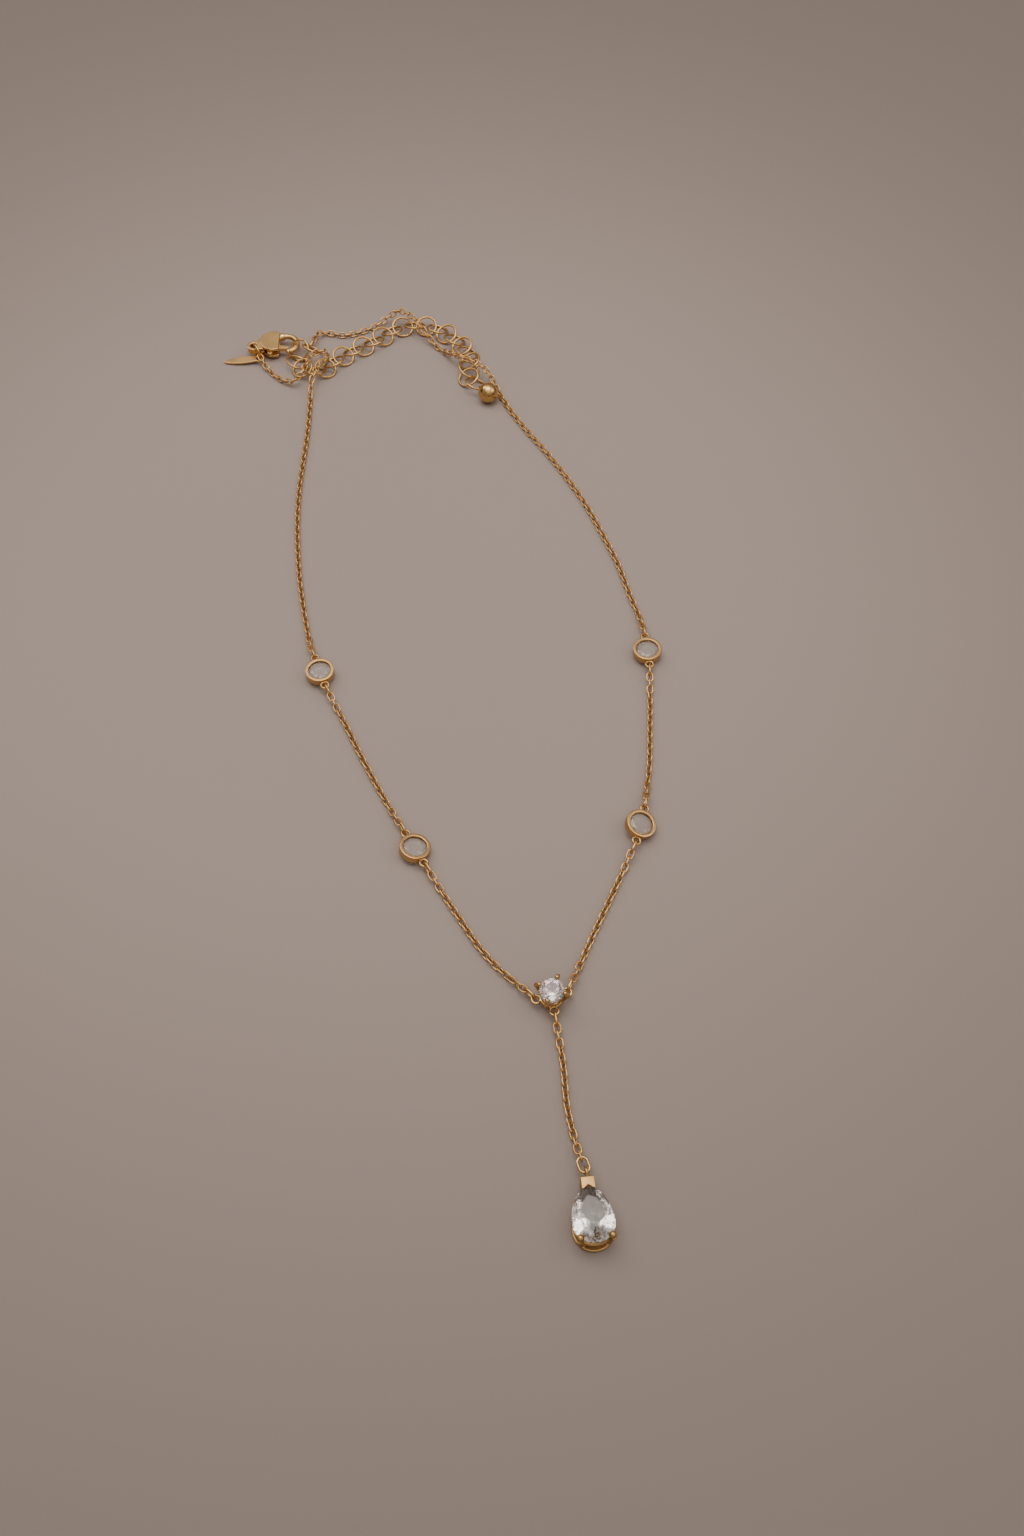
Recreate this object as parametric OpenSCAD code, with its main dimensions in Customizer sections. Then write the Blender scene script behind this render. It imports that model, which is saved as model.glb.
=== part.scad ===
/* [Fine chain] */
// Outer length of one fine cable link
link_l = 1.9; // [1.8:0.05:2.1]
// Outer width of one fine cable link
link_w = 1.3; // [1.2:0.05:1.4]
// Wire of the fine links
link_wire = 0.3; // [0.26:0.02:0.32]
// Play left between the wires of two links
link_gap = 0.1; // [0.08:0.01:0.12]

/* [Jump rings and loops] */
// Outer length of an oval jump ring
jump_l = 2.6; // [2.5:0.05:2.8]
// Outer width of an oval jump ring
jump_w = 1.9; // [1.8:0.05:2.0]
// Wire of the jump rings
jump_wire = 0.4; // [0.36:0.02:0.42]
// Radius of a soldered loop, to the middle of its wire
loop_r = 0.65; // [0.62:0.01:0.7]
// Wire of the soldered loops
loop_wire = 0.4; // [0.36:0.02:0.42]

/* [Extender] */
// Outer diameter of an extender ring
ring_d = 4.6; // [4.5:0.05:4.7]
// Wire of the extender rings
ring_wire = 0.45; // [0.41:0.02:0.47]
// Lean of the lying rings to either side
ring_lean = 24; // [23:0.5:26]
// Diameter of the end ball
ball_d = 4; // [3.6:0.1:4.2]

/* [Bezels and their stones] */
// Outer diameter of a bezel
bezel_d = 5; // [4.8:0.1:5.1]
// Height of a bezel
bezel_h = 1.3; // [1.2:0.05:1.4]
// Inner diameter at the lips of a bezel
lip_d = 3.7; // [3.6:0.05:3.8]
// Girdle diameter of the four bezel stones
bezel_stone_d = 4; // [3.9:0.02:4.06]
// Depth of a bezel stone's faceted dome
dome_h = 1.4; // [1.2:0.05:1.4]
// Height of a bezel stone's crown over its girdle
crown_h = 0.45; // [0.35:0.05:0.6]

/* [Centre setting] */
// Outer diameter of the flat base ring
base_d = 3.1; // [2.9:0.1:3.2]
// Thickness of the base ring
base_h = 0.5; // [0.4:0.05:0.6]
// Diameter of a prong
prong_d = 0.68; // [0.6:0.02:0.72]
// Height of the stone's girdle over the floor
girdle_z = 3.3; // [3.2:0.05:3.4]
// Girdle diameter of the centre stone
centre_stone_d = 4; // [3.9:0.05:4.05]

/* [Pear] */
// Width of the pear stone
pear_w = 6; // [5.9:0.05:6.05]
// Lean of the pear's girdle, tip low
pear_lean = 12; // [11:0.5:13]
// Depth of the pear stone under its girdle
pear_depth = 2.4; // [2.1:0.05:2.45]
// Thickness of the pear's lower rail
rail_h = 0.55; // [0.45:0.05:0.6]

/* [Clasp] */
// Thickness of the clasp's body
clasp_t = 2.2; // [2:0.1:2.4]
// Wire of the hook
hook_wire = 1.1; // [1:0.05:1.15]
// Thickness of the lever
lever_t = 0.9; // [0.8:0.02:0.94]
// Diameter of the lever's pivot pin
pin_d = 0.7; // [0.6:0.05:0.75]
// Radial play between the pin and the lever
pin_play = 0.05; // [0.03:0.01:0.08]

/* [Tag] */
// Length of the bare tag
tag_l = 8.5; // [7.5:0.25:9]
// Width of the bare tag
tag_w = 1.9; // [1.7:0.1:2.1]
// Thickness of the tag
tag_t = 0.4; // [0.3:0.05:0.45]

/* [Hidden] */
gold = [0.78, 0.58, 0.33];
crystal = [0.9, 0.92, 0.94, 0.5];

// Height of a resting fine link
rest = 0.57;
// The pitch of the fine chain, and how far each kind of ring holds the next
link_half = (link_l - link_wire) / 2;
jump_half = (jump_l - jump_wire) / 2;
pitch = 2 * link_half - link_wire - link_gap;
loop_to_jump = loop_r + jump_half - (loop_wire + jump_wire) / 2 - link_gap;
jump_to_link = jump_half + link_half - (jump_wire + link_wire) / 2 - link_gap;
lead = loop_to_jump + jump_to_link;
ring_r = (ring_d - ring_wire) / 2;
ring_pitch = 1.25 * ring_r;
loop_out = bezel_d / 2 + loop_r - 0.05;

// Bezels: middle point, direction of the chain from back to front, lean about it
dome_out = dome_h - bezel_h / 2;
level_z = bezel_h / 2 + dome_out;
function rim_z(a) = bezel_d / 2 * sin(a) + bezel_h / 2 * cos(a) + 0.01;
left_back = [-39.3, 61.0, level_z, -70, 0];
right_back = [17.8, 65.7, level_z, -86, 0];
left_front = [-21.5, 25.7, rim_z(12), -60, 168];
right_front = [14.8, 29.9, max(rim_z(18), dome_h * cos(18) + 0.15 * bezel_stone_d * sin(18) + 0.01), -105, -18];
function spot(b) = [b[0], b[1], b[2]];
function heading(b) = [cos(b[3]), sin(b[3]), 0];
function fore(b) = spot(b) + loop_out * heading(b);
function aft(b) = spot(b) - loop_out * heading(b);

// Centre setting: the loops' radius, height and directions
gallery_r = 1.7;
gallery_z = 1.35;
centre_loop_r = 2.4;
centre_left = 192;
centre_right = 15;
centre_drop = -82;
function at_centre(a) = [centre_loop_r * cos(a), centre_loop_r * sin(a), gallery_z];

// Pear: middle point, direction of the tip
pear_at = [5.0, -32.3];
pear_turn = 96;
bail_y = 5.75;
bail_z = 1.5;
bail_wire = 0.5;
bail = [pear_at[0] + bail_y * cos(pear_turn), pear_at[1] + bail_y * sin(pear_turn), bail_z];

// Points that the chains pass, in the order of each chain
left_mid_way = [[-34.5, 50.8, rest], [-31.3, 44, rest], [-27.9, 37.3, rest]];
left_front_way = [[-14.4, 13.9, rest], [-9.6, 6.7, rest]];
right_front_way = [[6.7, 10.8, rest], [10.1, 18.3, rest]];
right_mid_way = [[16.9, 41.6, rest], [17.4, 48.5, rest], [17.8, 55.4, rest]];
drop_way = [[1.5, -10.3, rest], [2, -17, rest], [3.4, -23.5, rest]];

// Routes of the two long back chains, which lie in loose curves
left_back_way = [[-41.3, 66.4, 1.1], [-42.2, 70, 0.6], [-43.3, 75, 0.57], [-44.7, 82.5, 0.57], [-45.7, 90, 0.57],
    [-46.4, 97.5, 0.57], [-46.7, 105, 0.57], [-46.6, 112.5, 0.57], [-46.4, 120, 0.57], [-46.5, 127.5, 0.57],
    [-46.6, 131.2, 0.6], [-46.5, 133.8, 2.1], [-45.9, 136, 3], [-44.8, 138.3, 3], [-43.7, 140.3, 2.95], [-44.2, 142.2, 2.95],
    [-46.2, 141.8, 2.95], [-47.4, 139.8, 2.95], [-48.4, 136.8, 2.7], [-50.2, 135.2, 1.4], [-52.6, 136.2, 0.7],
    [-54.9, 138.3, 0.57], [-56.6, 140.4, 1]];
right_back_way = [[17.3, 71.4, 1.1], [16.6, 75, 0.6], [15.4, 79.2, 0.57], [13.5, 86.8, 0.57], [10.9, 94.2, 0.57],
    [8.1, 101.5, 0.57], [4.7, 108.6, 0.57], [0.9, 115.4, 0.57], [-3.2, 122, 0.57], [-6.2, 127.4, 0.57],
    [-8, 131.2, 0.57], [-9.2, 134.2, 0.8], [-10.9, 136.8, 2.4], [-13.3, 138.9, 2.95], [-16.1, 140.5, 2.95],
    [-18.4, 142.6, 2], [-20, 144.9, 0.7], [-22, 147, 0.8], [-24.2, 149.4, 2.3], [-25.9, 151.8, 2.95], [-27.6, 153.9, 2.95],
    [-29.7, 155.2, 2.7], [-32, 154.6, 1.6], [-34.8, 152.7, 0.7], [-37.8, 151.1, 0.57], [-40.9, 150.1, 0.57],
    [-43.6, 150.6, 0.6], [-45.7, 150.4, 0.9], [-46.75, 149.4, 1.2], [-47, 148.13, 1.26]];
tube_d = 1.1;

// Extender: its hooked ring, the rings that thread it, then the way to the ball
ring_z = ring_r * sin(ring_lean) + ring_wire / 2 + 0.02;
ball_at = [-10.7, 130.9, ball_d / 2];
ball_turn = 126;
ball_loop = [ball_at[0] + 2.4 * cos(ball_turn), ball_at[1] + 2.4 * sin(ball_turn), 1.2];

// Clasp: where the lug's hole lies, the middle of its thickness, and its own plan
lug_at = [-59.25, 144.9];
clasp_z = 1.7;
hook_at = [6.5, 1];
hook_r = 2.4;
pivot_at = [3.3, 0.1];
plate_end = 5.2;

// Catmull-Rom curve through the points, k steps for each stretch
function bent(a, b, c, d, t) =
    (2 * b + (c - a) * t + (2 * a - 5 * b + 4 * c - d) * t * t + (3 * b - a - 3 * c + d) * t * t * t) / 2;
function smooth(p, k) = let(n = len(p) - 1, q = concat([2 * p[0] - p[1]], p, [2 * p[n] - p[n - 1]]))
    concat([for (i = [0 : n - 1]) for (j = [0 : k - 1]) bent(q[i], q[i + 1], q[i + 2], q[i + 3], j / k)], [p[n]]);
// Length run at each point, and the point at a length
function run_up(p) = [for (i = 0, s = 0; i < len(p); s = s + norm(p[min(i + 1, len(p) - 1)] - p[i]), i = i + 1) s];
function seg(run, s, i = 0) = i >= len(run) - 2 || s < run[i + 1] ? i : seg(run, s, i + 1);
function at(p, run, s) = let(i = seg(run, s)) p[i] + (p[i + 1] - p[i]) * (s - run[i]) / (run[i + 1] - run[i]);

// Height on the way down from a loop at za and up to one at zb
function ease(s) = pow(max(0, 1 - max(0, s - 2) / 6), 2);
function settle(s, total, za, zb) = rest + (za - rest) * ease(s) + (zb - rest) * ease(total - s);
function on_way(p, run, s) = let(total = run[len(run) - 1], q = at(p, run, s))
    [q[0], q[1], settle(s, total, p[0][2], p[len(p) - 1][2])];
// Roll of link i of n: flat at the start, leaning on the way, end_roll at the end
function lean(i, n, end_roll) = let(e = n - 1 - i, back = (90 * (n - 1) - end_roll) % 180 == 0)
    90 * i + (i < 4 ? 11.25 * i : e < 4 ? (back ? 11.25 * e : 90 - 11.25 * e) : 45);

// Laid along the direction d at p, rolled about its own length
module lay(p, d, roll) {
    translate(p) rotate([0, -asin(d[2] / norm(d)), atan2(d[1], d[0])]) rotate([roll, 0, 0]) children();
}
// Oval link with its length along X, flat
module oval(length, width, wire) {
    s = (length - width) / 2;
    r = (width - wire) / 2;
    union() {
        translate([s, 0, 0]) rotate([0, 0, -90]) half_ring(r, wire);
        translate([-s, 0, 0]) rotate([0, 0, 90]) half_ring(r, wire);
        for (y = [-r, r]) translate([-s, y, 0]) rotate([0, 90, 0]) cylinder(d = wire, h = 2 * s, $fn = 16);
    }
}
module half_ring(r, wire) {
    rotate_extrude(angle = 180, $fn = 24) translate([r, 0]) circle(d = wire, $fn = 16);
}
module ring(r, wire) {
    rotate_extrude($fn = 32) translate([r, 0]) circle(d = wire, $fn = 16);
}
module jump_ring() {
    oval(jump_l, jump_w, jump_wire);
}

// Fine chain between two loops at a and b, past the points of way
module fine_chain(a, way, b, start_hold, end_hold, end_roll) {
    p = smooth(concat([a], way, [b]), 8);
    run = run_up(p);
    total = run[len(run) - 1];
    span = total - start_hold - end_hold;
    n = 1 + ceil(span / pitch - 0.001);
    for (i = [0 : n - 1]) {
        s = start_hold + span * i / (n - 1);
        c = on_way(p, run, s);
        d = on_way(p, run, s + 0.6) - on_way(p, run, s - 0.6);
        lay(c, d, lean(i, n, end_roll)) oval(link_l, link_w, link_wire);
    }
}
// Jump rings at the ends of such a chain
module chain_jump(a, way, b, from_end, hold, roll) {
    p = smooth(concat([a], way, [b]), 8);
    run = run_up(p);
    total = run[len(run) - 1];
    s = from_end ? total - hold : hold;
    c = on_way(p, run, s);
    d = on_way(p, run, s + 0.9) - on_way(p, run, s - 0.9);
    lay(c, d, roll) jump_ring();
}
// Round tube of eight sides along a smooth route, one ring for each step
module lying_tube(way, step) {
    p = smooth(way, 8);
    run = run_up(p);
    total = run[len(run) - 1];
    m = ceil(total / step);
    q = [for (i = [0 : m]) at(p, run, total * i / m)];
    pts = [for (i = [0 : m]) let(
        d = q[min(i + 1, m)] - q[max(i - 1, 0)],
        t = d / norm(d),
        side = [-t[1], t[0], 0] / norm([t[0], t[1]]),
        up = cross(t, side))
        for (k = [0 : 7]) q[i] + tube_d / 2 * (cos(45 * k + 22.5) * side + sin(45 * k + 22.5) * up)];
    walls = [for (i = [0 : m - 1]) for (k = [0 : 7])
        [8 * i + k, 8 * i + (k + 1) % 8, 8 * (i + 1) + (k + 1) % 8, 8 * (i + 1) + k]];
    polyhedron(points = pts, faces = concat(walls, [[for (k = [7 : -1 : 0]) k], [for (k = [0 : 7]) 8 * m + k]]));
}
// Solid between rings of points, each [radius, height, first angle], with n sides
module cut_stone(rows, n) {
    m = len(rows) - 1;
    pts = [for (row = rows) for (k = [0 : n - 1])
        [row[0] * cos(row[2] + 360 * k / n), row[0] * sin(row[2] + 360 * k / n), row[1]]];
    walls = [for (i = [0 : m - 1]) for (k = [0 : n - 1]) each
        [[n * i + k, n * i + (k + 1) % n, n * (i + 1) + k],
         [n * i + (k + 1) % n, n * (i + 1) + (k + 1) % n, n * (i + 1) + k]]];
    ends = [[for (k = [n - 1 : -1 : 0]) k], [for (k = [0 : n - 1]) n * m + k]];
    polyhedron(points = pts, faces = concat(walls, ends));
}

// Bezel with its groove for the stone's girdle, and two loops on the chain's line
module bezel(b) {
    w = bezel_d / 2;
    h = bezel_h / 2;
    groove = bezel_stone_d / 2 + 0.05;
    color(gold) translate(spot(b)) rotate([0, 0, b[3]]) rotate([b[4], 0, 0]) union() {
        rotate_extrude($fn = 64) polygon([[lip_d / 2, -h], [w - 0.15, -h], [w, -h + 0.15], [w, h - 0.15],
            [w - 0.15, h], [lip_d / 2, h], [lip_d / 2, 0.35], [groove, 0.2], [groove, -0.2], [lip_d / 2, -0.35]]);
        for (x = [-loop_out, loop_out]) translate([x, 0, 0]) ring(loop_r, loop_wire);
    }
}
// Round stone with a table on top and a faceted dome below
module bezel_stone(b) {
    r = bezel_stone_d / 2;
    color(crystal) translate(spot(b)) rotate([0, 0, b[3]]) rotate([b[4], 0, 0]) cut_stone([
        [r * 0.3, -dome_h, 0], [r * 0.66, -dome_h * 0.78, 11.25], [r * 0.8, -dome_h * 0.42, 0],
        [r, -0.1, 11.25], [r, 0.1, 11.25], [r * 0.6, crown_h, 0]], 16);
}

module centre_setting() {
    bend_at = [2.5, girdle_z + 0.05];
    tip_at = [2.05, girdle_z + 0.68];
    color(gold) union() {
        difference() {
            cylinder(d = base_d, h = base_h, $fn = 48);
            translate([0, 0, -1]) cylinder(d = 1.7, h = base_h + 2, $fn = 48);
        }
        translate([0, 0, gallery_z]) ring(gallery_r, 0.45);
        for (a = [-21, 69, 159, 249]) rotate([0, 0, a]) {
            rod([1.3, 0, 0.36], [bend_at[0], 0, bend_at[1]], prong_d);
            rod([bend_at[0], 0, bend_at[1]], [tip_at[0], 0, tip_at[1]], prong_d);
            translate([bend_at[0], 0, bend_at[1]]) sphere(d = prong_d + 0.08, $fn = 16);
            translate([tip_at[0], 0, tip_at[1]]) sphere(d = prong_d + 0.08, $fn = 16);
        }
        for (a = [centre_left, centre_right, centre_drop]) translate(at_centre(a)) ring(loop_r, loop_wire);
    }
}
// Straight round rod from a to b
module rod(a, b, d) {
    v = b - a;
    translate(a) rotate([0, acos(v[2] / norm(v)), atan2(v[1], v[0])]) cylinder(d = d, h = norm(v), $fn = 16);
}
module centre_stone() {
    r = centre_stone_d / 2;
    color(crystal) translate([0, 0, girdle_z]) cut_stone([
        [r * 0.06, -1.7, 0], [r * 0.5, -0.85, 11.25], [r, -0.06, 0], [r, 0.06, 0],
        [r * 0.82, 0.36, 11.25], [r * 0.57, 0.62, 0]], 16);
}

// Pear outline of width pear_w, its tip at +Y, walked counterclockwise
side_r = pear_w * 1.25;
function pear_half() = [for (t = [0 : 6]) let(a = -90 + 15 * t) pear_w / 2 * [cos(a), sin(a)] + [0, -1.5]];
function pear_side() = [for (t = [1 : 7]) let(a = pear_tip_a * t / 8) [side_r * cos(a) - (side_r - pear_w / 2), side_r * sin(a) - 1.5]];
pear_tip_a = acos((side_r - pear_w / 2) / side_r);
pear_tip_y = side_r * sin(pear_tip_a) - 1.5;
pear_right = concat(pear_half(), pear_side());
pear_ring = concat(pear_right, [[0, pear_tip_y]],
    [for (i = [len(pear_right) - 1 : -1 : 1]) [-pear_right[i][0], pear_right[i][1]]]);
module pear_plate(k, h, dy = 0) {
    linear_extrude(h) translate([0, dy]) scale([k, k]) polygon(pear_ring);
}
pear_z = 2.35;
module pear_place() {
    translate([pear_at[0], pear_at[1], 0]) rotate([0, 0, pear_turn - 90]) children();
}
module girdle_place() {
    translate([0, 0, pear_z]) rotate([-pear_lean, 0, 0]) children();
}
module pear_setting() {
    color(gold) pear_place() union() {
        difference() {
            pear_plate(1.0, rail_h, -0.35);
            translate([0, 0, -1]) pear_plate(0.76, rail_h + 2, -0.35);
        }
        girdle_place() translate([0, 0, -1.35]) difference() {
            pear_plate(0.98, 0.45);
            translate([0, 0, -1]) pear_plate(0.8, 3);
        }
        for (side = [-1, 1]) {
            rod([side * 1.75, -3.6, 0.3], [side * 2.35, -4.0, 3.5], 0.7);
            translate([side * 2.2, -3.75, 4.05]) sphere(d = 1.1, $fn = 24);
        }
        for (side = [-1, 1]) rod([side * 2.2, 1, 0.3], [side * 2.2, 0.9, 1.35], 0.55);
        difference() {
            translate([-1, 3.3, 0]) cube([2, 1.7, 2.3]);
            girdle_place() translate([0, 0, -1.6]) pear_plate(0.9, 1.2);
            girdle_place() translate([0, 0, -0.45]) pear_plate(1.03, 0.65);
            girdle_place() translate([0, 0, 0.15]) pear_plate(0.97, 0.4);
            girdle_place() translate([0, 0, 0.5]) pear_plate(0.84, 2);
        }
        translate([0, bail_y, bail_z]) rotate([0, 90, 0]) ring(loop_r, bail_wire);
    }
}
module pear_stone() {
    n = len(pear_ring);
    function row(k, z, dy) = [for (q = pear_ring) [q[0] * k, q[1] * k + dy, z]];
    pts = concat(row(0.06, -pear_depth, -0.9), row(0.52, -pear_depth * 0.6, -0.45), row(1, -0.08, 0),
        row(1, 0.08, 0), row(0.8, 0.5, 0), row(0.55, 0.85, -0.1));
    walls = [for (i = [0 : 4]) for (k = [0 : n - 1]) each
        [[n * i + k, n * i + (k + 1) % n, n * (i + 1) + k],
         [n * i + (k + 1) % n, n * (i + 1) + (k + 1) % n, n * (i + 1) + k]]];
    ends = [[for (k = [n - 1 : -1 : 0]) k], [for (k = [0 : n - 1]) 5 * n + k]];
    color(crystal) pear_place() girdle_place() polyhedron(points = pts, faces = concat(walls, ends));
}

// Extender rings: each [x, y, z, direction, pitch, roll]
threads = [[-49.74, 144.07, 1.79, -43.6, -8.5, 45], [-50.14, 141.23, 1.02, 128.3, 5.6, 21], [-47.2, 144.57, 1.59, 179.2, 27.3, 28.5],
    [-48.86, 139.32, 1.11, -50.6, 0, 24.1]];
module lay_ring(q) {
    translate([q[0], q[1], q[2]]) rotate([0, -q[4], q[3]]) rotate([q[5], 0, 0]) ring(ring_r, ring_wire);
}
extender_way = [[-46.29, 138.5, 0], [-44.69, 138.74, 0], [-41.92, 141.91, 0], [-38.7, 144.6, 0], [-36.2, 146.4, 0],
    [-34, 148, 0], [-31.3, 150.6, 0], [-28.4, 152.3, 0], [-25.3, 152.5, 0], [-21.9, 151.6, 0], [-18.7, 149, 0],
    [-16.3, 146.1, 0], [-14.8, 142.9, 0], [-14.6, 140, 0], [-14.95, 137, 0]];

module extender_chain() {
    last = ball_loop + ring_r * [cos(ball_turn), sin(ball_turn), 0];
    p = smooth(concat(extender_way, [[last[0], last[1], 0]]), 6);
    run = run_up(p);
    total = run[len(run) - 1];
    n = ceil(total / ring_pitch);
    color(gold) {
        for (q = threads) lay_ring(q);
        for (i = [0 : n]) {
            s = total * i / n;
            c = at(p, run, s);
            d = at(p, run, min(s + 0.8, total)) - at(p, run, max(s - 0.8, 0));
            up = ring_z + (last[2] - ring_z) * pow(max(0, 1 - (total - s) / 9), 2);
            lay([c[0], c[1], up], d, i % 2 == 0 ? -ring_lean : ring_lean) ring(ring_r, ring_wire);
        }
    }
}
module end_ball() {
    color(gold) union() {
        translate(ball_at) sphere(d = ball_d, $fn = 48);
        translate(ball_loop) rotate([0, 0, ball_turn]) rotate([90, 0, 0]) ring(loop_r, loop_wire);
    }
}

module clasp_place() {
    translate([lug_at[0], lug_at[1], clasp_z]) children();
}
module hook_arc(from, sweep, wire) {
    translate([hook_at[0], hook_at[1], 0]) rotate([0, 0, from]) rotate_extrude(angle = sweep, $fn = 48)
        translate([hook_r, 0]) circle(d = wire, $fn = 16);
}
module clasp_body() {
    color(gold) clasp_place() union() {
        difference() {
            union() {
                intersection() {
                    translate([4, 1, -clasp_t / 2]) cylinder(r = 2.8, h = clasp_t, $fn = 64);
                    translate([-1, -4, -5]) cube([1 + plate_end, 10, 10]);
                }
                translate([0, 0, -0.6]) cylinder(r = 1.35, h = 1.2, $fn = 32);
                translate([0, 0, -0.6]) linear_extrude(1.2) polygon([[0, -1.2], [2.2, -1.05], [2.4, 2.9], [0, 1.2]]);
            }
            translate([0, 0, -5]) cylinder(d = 1.4, h = 10, $fn = 32);
            translate([0, 0, -lever_t / 2 - 0.05]) linear_extrude(lever_t + 0.1)
                polygon([[2.3, -3], [2.3, 0.9], [3.3, 1.15], [6.4, 2.2], [6.4, -3]]);
        }
        hook_arc(-71, 211, hook_wire);
        hook_arc(103, 35, hook_wire + 0.5);
        translate([hook_at[0] + hook_r * cos(-71), hook_at[1] + hook_r * sin(-71), 0]) sphere(d = hook_wire + 0.06, $fn = 24);
        translate([pivot_at[0], pivot_at[1], -clasp_t / 2 + 0.2]) cylinder(d = pin_d, h = clasp_t - 0.4, $fn = 24);
    }
}
module clasp_lever() {
    tip = [6.92, -0.36];
    color(gold) clasp_place() translate([0, 0, -lever_t / 2]) difference() {
        union() {
            translate([pivot_at[0], pivot_at[1], 0]) cylinder(r = 0.75, h = lever_t, $fn = 32);
            translate([tip[0], tip[1], 0]) cylinder(r = 0.35, h = lever_t, $fn = 24);
            linear_extrude(lever_t) polygon([[3.3, -0.65], [tip[0], tip[1] - 0.35], [tip[0], tip[1] + 0.35], [3.3, 0.85]]);
            translate([3.5, -1.85, 0]) cylinder(r = 0.5, h = lever_t, $fn = 24);
            linear_extrude(lever_t) polygon([[3, -1.85], [4, -1.85], [4.3, 0], [2.6, 0]]);
        }
        translate([pivot_at[0], pivot_at[1], -1]) cylinder(d = pin_d + 2 * pin_play, h = lever_t + 2, $fn = 24);
    }
}
clasp_ring_at = [-58.5, 143.6, 1.7];
module clasp_ring() {
    color(gold) translate(clasp_ring_at) rotate([0, 0, -60]) rotate([90, 0, 0]) ring(1.45, 0.5);
}
// Leaf-shaped tab with a round end and one hole
module tag() {
    r = tag_w / 2;
    color(gold) translate([-57.91, 142.58, 0.85]) rotate([0, 4.4, 184]) difference() {
        translate([0, 0, -tag_t / 2]) linear_extrude(tag_t) polygon([for (i = [0 : 31]) let(a = 11.25 * i,
            x = tag_l / 2 - 1.05 + tag_l / 2 * cos(a), leaf = r * abs(sin(a)) * (0.6 + 0.4 * abs(sin(a))))
            [x, (sin(a) < 0 ? -1 : 1) * max(leaf, sqrt(max(0, 1.05 * 1.05 - x * x)))]]);
        translate([0, 0, -5]) cylinder(d = 1.55, h = 10, $fn = 32);
    }
}
extender_ring_at = [-47.59, 146.76, 0.99, 66.4, 10.1, 113.7];
module extender_ring() {
    q = extender_ring_at;
    color(gold) translate([q[0], q[1], q[2]]) rotate([0, -q[4], q[3]]) rotate([q[5], 0, 0]) jump_ring();
}

module chain_drop() {
    color(gold) fine_chain(at_centre(centre_drop), drop_way, bail, lead, lead - 0.05, 90);
}
module chain_left_front() {
    color(gold) fine_chain(fore(left_front), left_front_way, at_centre(centre_left), lead, lead, 0);
}
module chain_right_front() {
    color(gold) fine_chain(at_centre(centre_right), right_front_way, fore(right_front), lead, lead, 0);
}
module chain_left_mid() {
    color(gold) fine_chain(fore(left_back), left_mid_way, aft(left_front), lead, lead, 0);
}
module chain_right_mid() {
    color(gold) fine_chain(aft(right_front), right_mid_way, fore(right_back), lead, lead, 0);
}
module chain_left_back() {
    color(gold) lying_tube(left_back_way, 3.1);
}
module chain_right_back() {
    color(gold) lying_tube(right_back_way, 3.1);
}
module jumps_left() {
    color(gold) {
        back_jump(left_back);
        chain_jump(fore(left_back), left_mid_way, aft(left_front), false, loop_to_jump, 90);
        chain_jump(fore(left_back), left_mid_way, aft(left_front), true, loop_to_jump, 84);
        chain_jump(fore(left_front), left_front_way, at_centre(centre_left), false, loop_to_jump, 84);
    }
}
module jumps_right() {
    color(gold) {
        back_jump(right_back);
        chain_jump(aft(right_front), right_mid_way, fore(right_back), true, loop_to_jump, 90);
        chain_jump(aft(right_front), right_mid_way, fore(right_back), false, loop_to_jump, 99);
        chain_jump(at_centre(centre_right), right_front_way, fore(right_front), true, loop_to_jump, 99);
    }
}
module jumps_centre() {
    color(gold) {
        chain_jump(fore(left_front), left_front_way, at_centre(centre_left), true, loop_to_jump, 90);
        chain_jump(at_centre(centre_right), right_front_way, fore(right_front), false, loop_to_jump, 90);
        chain_jump(at_centre(centre_drop), drop_way, bail, false, loop_to_jump, 90);
    }
}
module jump_bail() {
    color(gold) chain_jump(at_centre(centre_drop), drop_way, bail, true, loop_to_jump - 0.05, 0);
}
// Jump ring behind a back bezel, where its long chain starts
module back_jump(b) {
    c = aft(b) - loop_to_jump * heading(b) - [0, 0, 0.15];
    lay(c, -heading(b) + [0, 0, -0.12], 90) jump_ring();
}
module bezel_left_front() { bezel(left_front); }
module bezel_left_back() { bezel(left_back); }
module bezel_right_front() { bezel(right_front); }
module bezel_right_back() { bezel(right_back); }
module stone_left_front() { bezel_stone(left_front); }
module stone_left_back() { bezel_stone(left_back); }
module stone_right_front() { bezel_stone(right_front); }
module stone_right_back() { bezel_stone(right_back); }

chain_drop();
chain_left_front();
chain_right_front();
chain_left_mid();
chain_right_mid();
chain_left_back();
chain_right_back();
extender_chain();
extender_ring();
end_ball();
clasp_body();
clasp_lever();
clasp_ring();
tag();
bezel_left_front();
bezel_left_back();
bezel_right_front();
bezel_right_back();
stone_left_front();
stone_left_back();
stone_right_front();
stone_right_back();
jumps_left();
jumps_right();
jumps_centre();
jump_bail();
centre_setting();
centre_stone();
pear_setting();
pear_stone();
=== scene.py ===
import math

import bmesh
import bpy
import numpy as np
from mathutils import Matrix, Vector


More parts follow.
